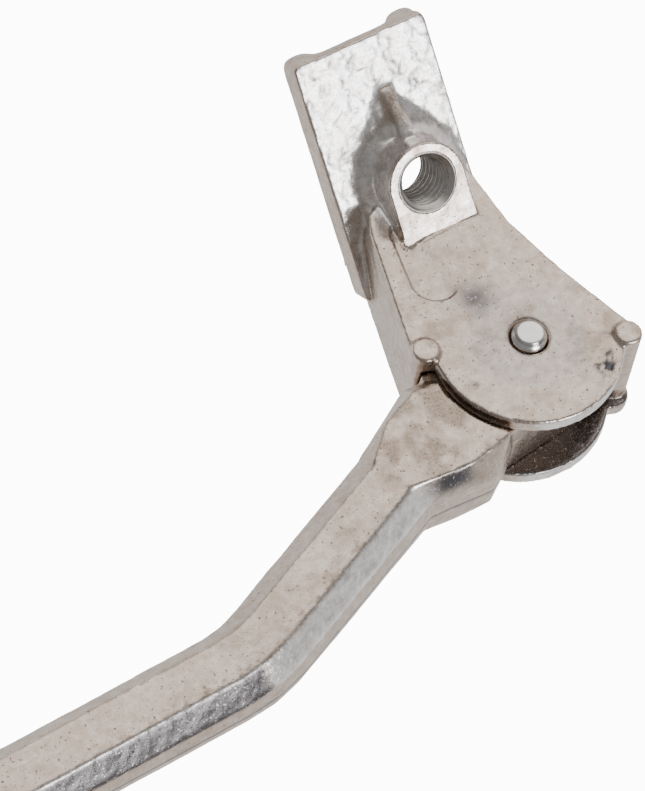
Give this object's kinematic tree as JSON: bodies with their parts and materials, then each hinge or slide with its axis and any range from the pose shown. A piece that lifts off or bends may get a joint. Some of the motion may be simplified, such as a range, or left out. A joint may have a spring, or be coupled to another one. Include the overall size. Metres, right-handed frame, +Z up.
{
  "type": "bicycle kickstand",
  "caption": "Centre-mount bicycle side stand: clamp plate with threaded boss, bent clevis, pivot pin and swinging octagonal leg with a rubber foot.",
  "frame": {"origin": "on the axis of the threaded hole, where it opens in the floor of the channel between the clamp plate's ridges", "axes": "+Z up, out of the threaded hole towards the bicycle's frame; +X to the front of the bicycle; +Y to its left, which is outwards towards the clevis"},
  "size_m": [0.2947, 0.0856, 0.0888],
  "materials": {
    "cast_aluminium": "satin die-cast aluminium with a fine grain, small pits and light brown stains; milled bright on the boss face",
    "zinc_plated_steel": "bright zinc-plated steel",
    "spring_steel": "oiled plain steel",
    "foot_rubber": "matt black moulded rubber"
  },
  "bodies": {
    "head": {"head_casting": "cast_aluminium", "pivot_pin": "zinc_plated_steel"},
    "leg": {"leg_casting": "cast_aluminium", "detent_spring": "spring_steel", "foot_cap": "foot_rubber"},
    "plunger": {"detent_plunger": "spring_steel"}
  },
  "joints": [
    {"name": "leg_swing", "type": "hinge", "parent": "head", "child": "leg", "pos_m": [0.0025, 0.0262, -0.0323], "axis": [0.0785, -0.7524, -0.654], "range_deg": [0, 90]},
    {"name": "plunger_slide", "type": "slide", "parent": "leg", "child": "plunger", "axis": [0.8991, -0.2301, 0.3725], "range_m": [0, 0.0008], "stiffness_N_per_m": 2000, "springref_m": 0.01}
  ]
}
